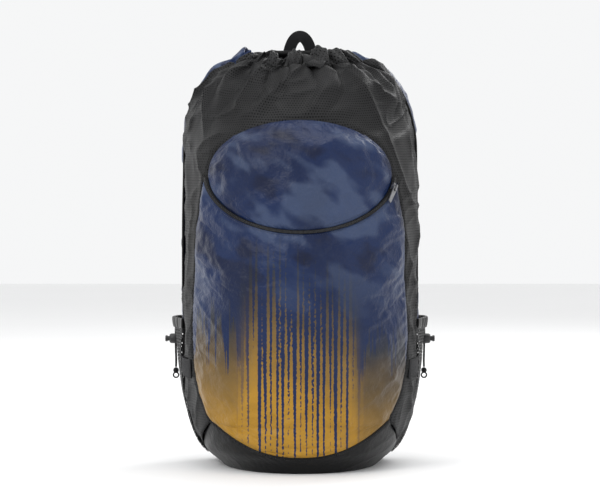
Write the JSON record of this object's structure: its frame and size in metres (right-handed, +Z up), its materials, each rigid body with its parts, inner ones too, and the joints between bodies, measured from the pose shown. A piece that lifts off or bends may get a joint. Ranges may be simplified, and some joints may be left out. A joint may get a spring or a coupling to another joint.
{
  "type": "softball gear backpack",
  "caption": "Drawstring-top sports backpack with an oval zipped front pouch, mesh body, two mesh side pockets with corded rims, padded back and two padded shoulder straps",
  "frame": {"origin": "middle of the flat base, on the surface that the bag stands on", "axes": "+Z up the bag to its mouth; the printed front faces -Y, the back and straps +Y; +X is the wearer's right when the bag is worn"},
  "size_m": [0.3758, 0.4044, 0.5914],
  "materials": {
    "navy_print": "coated navy polyester with a soft sheen and fine creases",
    "ombre_print": "coated polyester printed navy at the top fading to gold below, with plain ragged streaks",
    "black_mesh": "close black polyester mesh, matte",
    "black_satin": "smooth black woven lining with a slight sheen",
    "charcoal_cloth": "charcoal spacer cloth over foam, matte",
    "gold_cloth": "printed gold polyester, matte",
    "black_webbing": "woven black webbing and cord",
    "black_plastic": "moulded black acetal, satin gloss",
    "dark_metal": "dark nickel zip hardware"
  },
  "bodies": {
    "bag": {"back_pad": "charcoal_cloth", "back_panel": "black_satin", "base_boot": "black_satin", "buckle_left": "black_plastic", "buckle_right": "black_plastic", "cord_knot_left": "black_webbing", "cord_knot_right": "black_webbing", "cord_lock_left": "black_plastic", "cord_lock_right": "black_plastic", "flap_panel": "navy_print", "front_panel": "ombre_print", "haul_loop": "black_webbing", "lower_side_left": "black_satin", "lower_side_right": "black_satin", "lower_webbing_left": "black_webbing", "lower_webbing_right": "black_webbing", "mesh_body": "black_mesh", "pocket_cord_left": "black_webbing", "pocket_cord_right": "black_webbing", "pocket_hem_left": "black_satin", "pocket_hem_right": "black_satin", "pocket_left": "black_mesh", "pocket_right": "black_mesh", "side_panel_left": "navy_print", "side_panel_right": "navy_print", "side_webbing_left": "black_webbing", "side_webbing_right": "black_webbing", "sternum_keeper": "black_plastic", "sternum_tail": "black_webbing", "strap_face_left": "gold_cloth", "strap_face_right": "gold_cloth", "strap_pad_left": "black_satin", "strap_pad_right": "black_satin", "strap_patch_left": "black_webbing", "strap_patch_right": "black_webbing", "strap_tail_left": "black_webbing", "strap_tail_right": "black_webbing", "zip_slider": "dark_metal", "zip_tape": "black_webbing"},
    "pull": {"zip_pull": "dark_metal"},
    "button_left": {"lock_button_left": "black_plastic"},
    "button_right": {"lock_button_right": "black_plastic"}
  },
  "joints": [
    {"name": "zip_pull_hinge", "type": "hinge", "parent": "bag", "child": "pull", "pos_m": [0.1262, -0.07991, 0.37626], "axis": [-0.4326, -0.6128, 0.6613], "range_deg": [0, 150]},
    {"name": "lock_button_left_press", "type": "slide", "parent": "bag", "child": "button_left", "axis": [1, 0, 0], "range_m": [0, 0.0025], "stiffness_N_per_m": 300, "springref_m": -0.001},
    {"name": "lock_button_right_press", "type": "slide", "parent": "bag", "child": "button_right", "axis": [-1, 0, 0], "range_m": [0, 0.0025], "stiffness_N_per_m": 300, "springref_m": -0.001}
  ]
}
